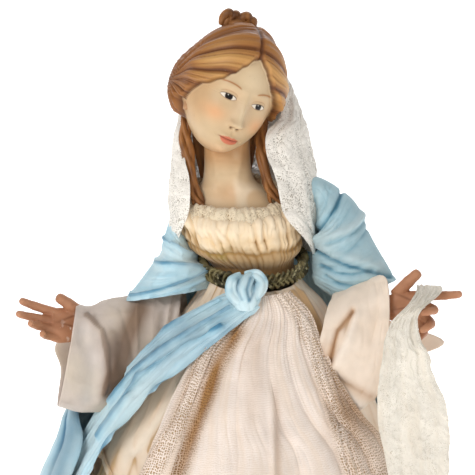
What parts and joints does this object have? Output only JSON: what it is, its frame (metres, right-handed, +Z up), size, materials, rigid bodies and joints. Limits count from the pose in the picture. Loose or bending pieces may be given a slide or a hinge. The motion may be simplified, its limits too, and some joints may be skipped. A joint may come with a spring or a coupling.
{
  "type": "madonna figure",
  "caption": "Kneeling madonna figure with open arms and a leaning head, dressed in a gown, mantle and veils of stiffened cloth, on a low oval base.",
  "frame": {"origin": "the middle of the base's underside", "axes": "+Z up, -Y the way the figure faces, +X its left-hand side"},
  "size_m": [0.3114, 0.276, 0.4371],
  "materials": {
    "wood": "dark stained, satin",
    "petticoat_cloth": "stiffened cotton, aged cream",
    "gown_cloth": "stiffened cotton, cream",
    "bodice_cloth": "gathered stiffened cotton, cream yellow in the folds",
    "painted_head": "painted skin and hair, varnished",
    "braid": "woven dark green and gold braid",
    "lace": "fine white lace",
    "painted_hands": "painted terracotta tone, semi-matt",
    "sleeve_cloth_right": "stiffened cotton, pinkish beige",
    "sleeve_cloth_left": "stiffened cotton, cream",
    "mantle_cloth": "stiffened cotton, light blue, faded on the folds",
    "gauze": "open white gauze"
  },
  "bodies": {
    "root": {"base": "wood", "petticoat": "petticoat_cloth", "gown_skirt": "gown_cloth", "gown_bodice": "bodice_cloth", "bust": "painted_head", "belt": "braid", "lace_collar": "lace", "right_hand": "painted_hands", "left_hand": "painted_hands", "right_sleeve": "sleeve_cloth_right", "left_sleeve": "sleeve_cloth_left", "mantle": "mantle_cloth", "sash": "mantle_cloth", "gauze_apron": "gauze", "head_veil": "lace", "hand_veil": "gauze"}
  },
  "joints": []
}
